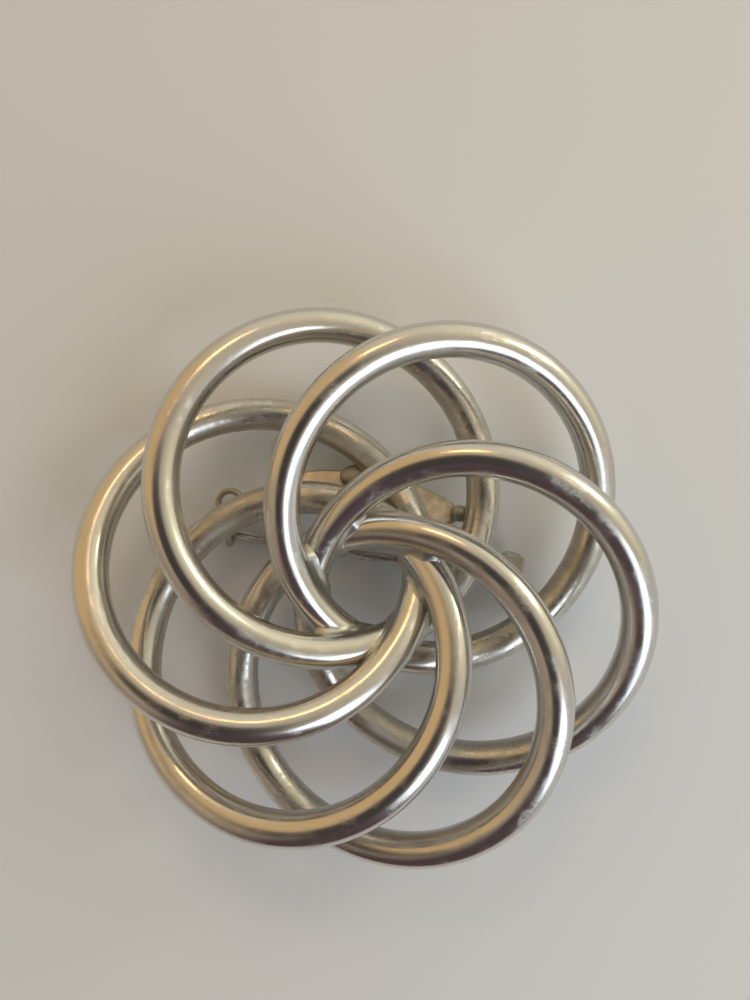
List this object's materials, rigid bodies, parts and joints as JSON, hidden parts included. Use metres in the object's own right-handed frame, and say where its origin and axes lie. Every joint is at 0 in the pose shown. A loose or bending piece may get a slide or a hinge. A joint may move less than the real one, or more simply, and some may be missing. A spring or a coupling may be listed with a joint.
{
  "type": "swirl ring brooch",
  "caption": "Round brooch of linked wire rings swirling about an open hub, with a hinged pin, wire catch and oval plaque on its back.",
  "frame": {"origin": "centre of the bounding box's base, on the hub's axis, at the lowest point of the back", "axes": "+Z out through the front, +Y to the top edge as worn, +X to the wearer's left, from the catch to the hinge"},
  "size_m": [0.0487, 0.0485, 0.015],
  "materials": {
    "polished_silver": "polished silver-tone metal, worn, with light tarnish in the recesses",
    "solder": "dull grey silver solder",
    "findings_silver": "satin silver-tone metal, lightly tarnished",
    "pin_steel": "drawn bright steel wire"
  },
  "bodies": {
    "brooch": {"ring_top_left": "polished_silver", "ring_top_right": "polished_silver", "ring_right": "polished_silver", "ring_bottom_right": "polished_silver", "ring_bottom_left": "polished_silver", "ring_left": "polished_silver", "lap_solder_top_left": "solder", "lap_solder_top_right": "solder", "lap_solder_right": "solder", "lap_solder_bottom_right": "solder", "lap_solder_bottom_left": "solder", "lap_solder_left": "solder", "maker_plaque": "findings_silver", "plaque_solder_middle": "solder", "plaque_solder_tip": "solder", "hinge_bracket": "findings_silver", "hinge_rivet": "pin_steel", "hinge_solder": "solder", "catch_hook": "findings_silver", "catch_solder": "solder"},
    "pin": {"pin_stem": "pin_steel"}
  },
  "joints": [
    {"name": "pin_hinge", "type": "hinge", "parent": "brooch", "child": "pin", "pos_m": [0.01345, 0.001, 0.00206], "axis": [-0.0942, -0.9015, -0.4223], "range_deg": [0, 110]}
  ]
}
